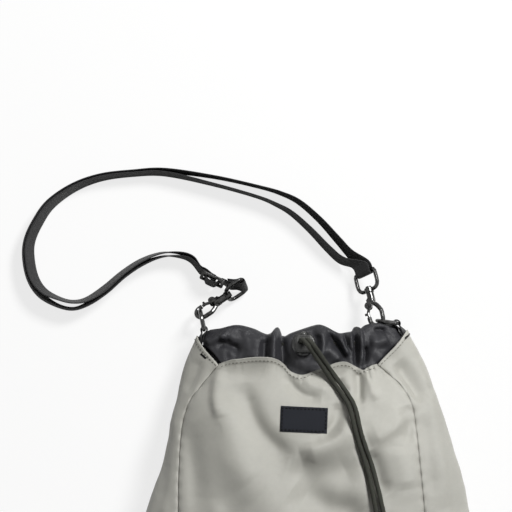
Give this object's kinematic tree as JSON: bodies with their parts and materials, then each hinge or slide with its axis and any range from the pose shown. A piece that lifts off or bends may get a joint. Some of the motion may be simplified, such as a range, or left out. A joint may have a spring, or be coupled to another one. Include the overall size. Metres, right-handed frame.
{
  "type": "drawstring shoulder bag",
  "caption": "Soft drawstring shoulder bag lying on its back: pear-shaped body, gathered collar with drawcord and cord lock, clip-on webbing strap.",
  "frame": {"origin": "on the flat underside of the back panel, on the surface the bag lies on", "axes": "+Y from the base towards the mouth, +Z out of the front panel, +X to the right looking down on the front"},
  "size_m": [0.3649, 0.44, 0.1007],
  "materials": {
    "nylon": "satin nylon, light warm grey",
    "collar_nylon": "matt black nylon",
    "cord": "braided cord, olive black",
    "plastic": "moulded black plastic",
    "label": "woven label, navy black, bare",
    "webbing": "woven black webbing",
    "black_metal": "glossy black plating",
    "spring_steel": "bright spring wire"
  },
  "bodies": {
    "bag": {"front_panel": "nylon", "back_panel": "nylon", "gusset_left": "nylon", "gusset_right": "nylon", "base_panel": "nylon", "collar": "collar_nylon", "drawcord_loop": "cord", "drawcord_tail_left": "cord", "drawcord_tail_right": "cord", "cord_knot_left": "cord", "cord_knot_right": "cord", "label": "label", "tab_left": "webbing", "tab_right": "webbing", "strap_webbing": "webbing", "eyelet": "black_metal", "eyelet_washer": "black_metal", "swivel_loop_left": "black_metal", "swivel_loop_right": "black_metal", "slider": "black_metal"},
    "cord_lock": {"cord_lock_body": "plastic", "cord_lock_spring": "spring_steel"},
    "lock_button": {"cord_lock_button": "plastic"},
    "ring_left": {"d_ring_left": "black_metal"},
    "hook_left": {"hook_left": "black_metal", "gate_pin_left": "black_metal", "gate_spring_left": "spring_steel"},
    "gate_left": {"gate_left": "black_metal"},
    "ring_right": {"d_ring_right": "black_metal"},
    "hook_right": {"hook_right": "black_metal", "gate_pin_right": "black_metal", "gate_spring_right": "spring_steel"},
    "gate_right": {"gate_right": "black_metal"}
  },
  "joints": [
    {"name": "ring_left_swing", "type": "hinge", "parent": "bag", "child": "ring_left", "pos_m": [-0.0802, 0.161, 0.024], "axis": [0, 0, 1], "range_deg": [-8, 0]},
    {"name": "hook_left_swivel", "type": "hinge", "parent": "bag", "child": "hook_left", "pos_m": [-0.06193, 0.18782, 0.0141], "axis": [0.8223, 0.5518, -0.1392], "range_deg": [-15, 15]},
    {"name": "gate_left_open", "type": "hinge", "parent": "hook_left", "child": "gate_left", "pos_m": [-0.07385, 0.18304, 0.01343], "axis": [-0.287, 0.6133, 0.7359], "range_deg": [0, 25], "stiffness_Nm_per_rad": 0.01, "springref_deg": -28.65},
    {"name": "ring_right_swing", "type": "hinge", "parent": "bag", "child": "ring_right", "pos_m": [0.072, 0.1661, 0.024], "axis": [0, 0, 1], "range_deg": [-8, 0]},
    {"name": "hook_right_swivel", "type": "hinge", "parent": "bag", "child": "hook_right", "pos_m": [0.05055, 0.19198, 0.01743], "axis": [-0.2318, 0.9377, -0.2588], "range_deg": [-15, 15]},
    {"name": "gate_right_open", "type": "hinge", "parent": "hook_right", "child": "gate_right", "pos_m": [0.05001, 0.17939, 0.02002], "axis": [-0.2297, 0.2058, 0.9513], "range_deg": [0, 25], "stiffness_Nm_per_rad": 0.01, "springref_deg": -28.65},
    {"name": "cord_lock_slide", "type": "slide", "parent": "bag", "child": "cord_lock", "axis": [0, 0.2377, 0.9713], "range_m": [0, 0.005]},
    {"name": "lock_button_press", "type": "slide", "parent": "cord_lock", "child": "lock_button", "axis": [0, -0.9713, 0.2377], "range_m": [0, 0.002], "stiffness_N_per_m": 800, "springref_m": -0.002}
  ]
}
